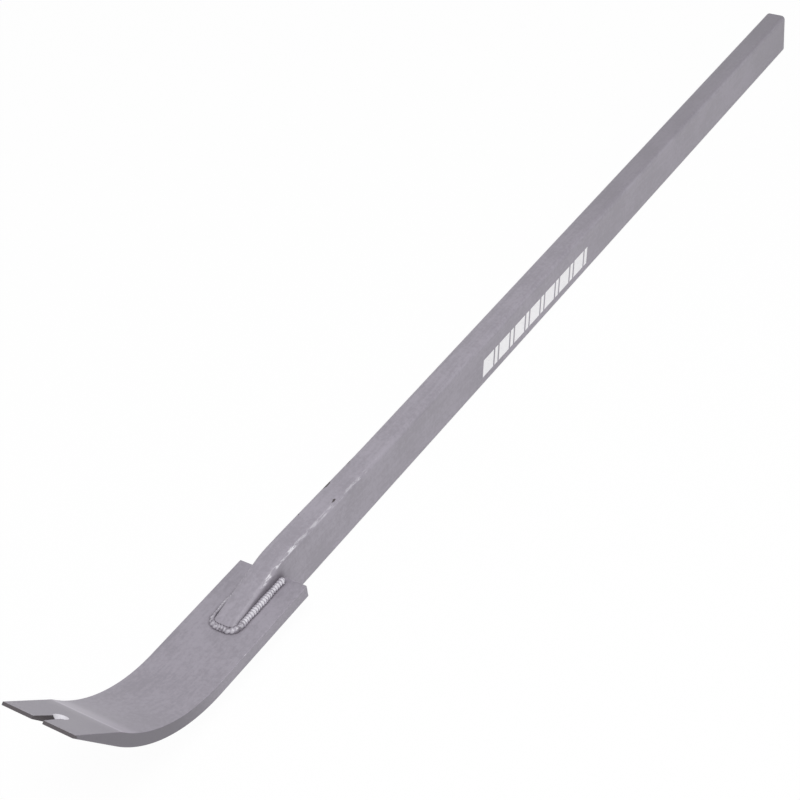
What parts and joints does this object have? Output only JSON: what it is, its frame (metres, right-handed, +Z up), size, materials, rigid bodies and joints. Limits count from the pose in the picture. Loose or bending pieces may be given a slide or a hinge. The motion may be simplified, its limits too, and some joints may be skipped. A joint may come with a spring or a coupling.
{
  "type": "pry bar",
  "caption": "Long welded steel pry bar: a thick flat blade with a curled, slotted tip, let into a rectangular tube handle, painted grey.",
  "frame": {"origin": "bottom centre of the bounding box, on the plane that the handle tube lies on", "axes": "+X along the handle from the blade to the plain end, +Y across the blade, +Z up, the way the tip curls"},
  "size_m": [1.4288, 0.0762, 0.133],
  "materials": {
    "grey_paint": "satin",
    "weld_paint": "satin",
    "white_print": "satin"
  },
  "bodies": {
    "root": {"blade": "grey_paint", "handle_tube": "grey_paint", "end_cap": "grey_paint", "end_cap_weld": "weld_paint", "upper_left_weld": "weld_paint", "upper_right_weld": "weld_paint", "upper_nose_weld": "weld_paint", "lower_left_weld": "weld_paint", "lower_right_weld": "weld_paint", "lower_nose_weld": "weld_paint", "painted_stripes": "white_print"}
  },
  "joints": []
}
